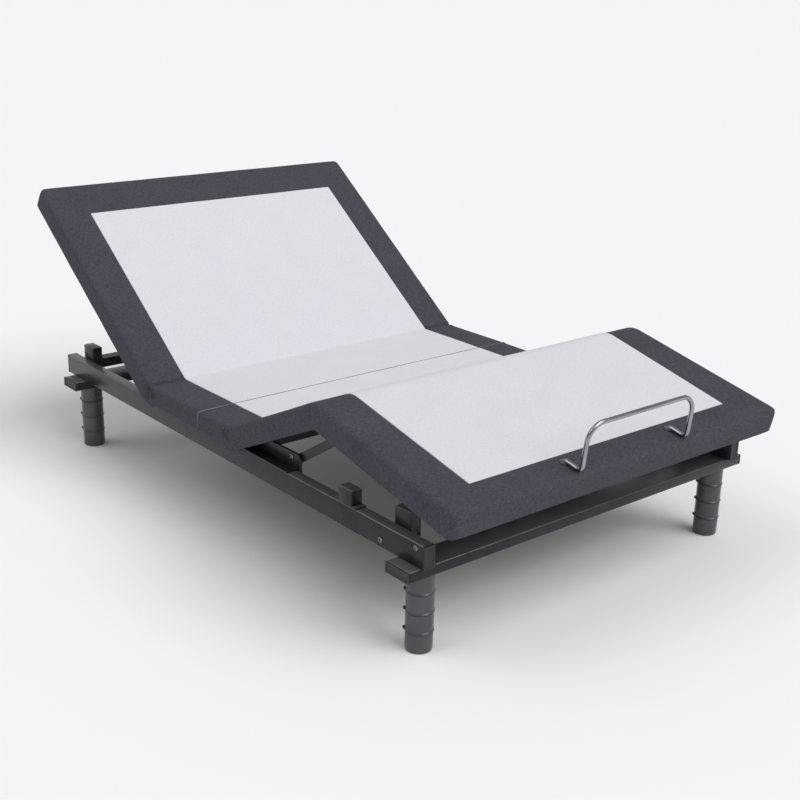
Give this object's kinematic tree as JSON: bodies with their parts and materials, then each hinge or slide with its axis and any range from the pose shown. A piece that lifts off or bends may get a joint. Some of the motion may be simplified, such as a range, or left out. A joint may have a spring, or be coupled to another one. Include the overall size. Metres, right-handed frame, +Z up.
{
  "type": "adjustable bed base",
  "caption": "Single adjustable bed base: steel frame on short legs, upholstered deck with lifting back, thigh and calf sections and a mattress bar.",
  "frame": {"origin": "on the floor under the middle of the base as it stands, back and legs raised", "axes": "+Y towards the head end, +X across the base, +Z up"},
  "size_m": [1.024, 1.7265, 0.6881],
  "materials": {
    "dark_steel": "satin",
    "bright_steel": "polished",
    "aluminium": "satin",
    "leg_plastic": "satin",
    "rubber": "matt",
    "plywood": "matt",
    "dark_fabric": "matt",
    "pale_fabric": "matt"
  },
  "bodies": {
    "frame": {"side_rail_left": "dark_steel", "side_rail_right": "dark_steel", "head_cross_tube": "dark_steel", "foot_cross_tube": "dark_steel", "inner_head_tube": "dark_steel", "mid_tube_rear": "dark_steel", "mid_tube_front": "dark_steel", "leg_head_left": "leg_plastic", "leg_head_right": "leg_plastic", "leg_foot_left": "leg_plastic", "leg_foot_right": "leg_plastic", "head_post_left": "dark_steel", "head_post_right": "dark_steel", "foot_post_left": "dark_steel", "foot_post_right": "dark_steel", "stub_bracket_left": "dark_steel", "stub_bracket_right": "dark_steel", "pivot_plate_left": "dark_steel", "pivot_plate_right": "dark_steel", "back_hinge_ear_left": "dark_steel", "back_hinge_ear_right": "dark_steel", "head_drive_bracket": "dark_steel", "foot_drive_bracket": "dark_steel", "seat_bar_rear": "dark_steel", "seat_bar_middle": "dark_steel", "seat_bar_front": "dark_steel", "rear_seat_board": "plywood", "front_seat_board": "plywood", "rear_seat_cover": "dark_fabric", "front_seat_cover": "dark_fabric", "rear_seat_panel": "pale_fabric", "front_seat_panel": "pale_fabric", "control_box": "leg_plastic", "power_inlet": "rubber"},
    "back": {"back_frame": "dark_steel", "back_board": "plywood", "back_cover": "dark_fabric", "back_panel": "pale_fabric"},
    "thigh": {"thigh_frame": "dark_steel", "thigh_board": "plywood", "thigh_cover": "dark_fabric", "thigh_panel": "pale_fabric"},
    "calf": {"calf_frame": "dark_steel", "calf_board": "plywood", "calf_cover": "dark_fabric", "calf_panel": "pale_fabric", "retainer_bar": "bright_steel", "retainer_nut_left": "bright_steel", "retainer_nut_right": "bright_steel"},
    "calf_link_l": {"calf_link_left": "dark_steel"},
    "calf_link_r": {"calf_link_right": "dark_steel"},
    "head_drive": {"head_drive_housing": "leg_plastic", "head_drive_tube": "aluminium"},
    "head_rod": {"head_drive_rod": "bright_steel"},
    "foot_drive": {"foot_drive_housing": "leg_plastic", "foot_drive_tube": "aluminium"},
    "foot_rod": {"foot_drive_rod": "bright_steel"}
  },
  "joints": [
    {"name": "back_hinge", "type": "hinge", "parent": "frame", "child": "back", "pos_m": [0, 0.29565, 0.2537], "axis": [1, 0, 0], "range_deg": [-35.77, 24.23]},
    {"name": "thigh_hinge", "type": "hinge", "parent": "frame", "child": "thigh", "pos_m": [0, -0.1151, 0.2537], "axis": [-1, 0, 0], "range_deg": [-25.24, 14.76]},
    {"name": "knee_hinge", "type": "hinge", "parent": "thigh", "child": "calf", "pos_m": [0, -0.41585, 0.39548], "axis": [-1, 0, 0], "range_deg": [-21.97, 37.56]},
    {"name": "calf_link_left_pivot", "type": "hinge", "parent": "frame", "child": "calf_link_l", "pos_m": [-0.4478, -0.2973, 0.266], "axis": [-1, 0, 0], "range_deg": [-35.8, 20.95]},
    {"name": "calf_link_right_pivot", "type": "hinge", "parent": "frame", "child": "calf_link_r", "pos_m": [0.4478, -0.2973, 0.266], "axis": [-1, 0, 0], "range_deg": [-35.8, 20.95]},
    {"name": "head_drive_pivot", "type": "hinge", "parent": "back", "child": "head_drive", "pos_m": [0, 0.57574, 0.41235], "axis": [1, 0, 0], "range_deg": [-2, 2.95]},
    {"name": "head_rod_slide", "type": "slide", "parent": "head_drive", "child": "head_rod", "axis": [0, -0.7702, -0.6378], "range_m": [-0.0364, 0.0247]},
    {"name": "foot_drive_pivot", "type": "hinge", "parent": "thigh", "child": "foot_drive", "pos_m": [0, -0.36701, 0.33376], "axis": [-1, 0, 0], "range_deg": [-1.1, 1.8]},
    {"name": "foot_rod_slide", "type": "slide", "parent": "foot_drive", "child": "foot_rod", "axis": [0, 0.8576, -0.5143], "range_m": [-0.0275, 0.0161]}
  ],
  "couplings": [
    {"joint": "knee_hinge", "follows": "thigh_hinge", "ratio": -1.4877},
    {"joint": "calf_link_left_pivot", "follows": "thigh_hinge", "ratio": 1.417},
    {"joint": "calf_link_right_pivot", "follows": "thigh_hinge", "ratio": 1.417},
    {"joint": "head_drive_pivot", "follows": "back_hinge", "ratio": -0.081},
    {"joint": "head_rod_slide", "follows": "back_hinge", "m_per_rad": 0.058},
    {"joint": "foot_drive_pivot", "follows": "thigh_hinge", "ratio": -0.0695},
    {"joint": "foot_rod_slide", "follows": "thigh_hinge", "m_per_rad": 0.062}
  ]
}
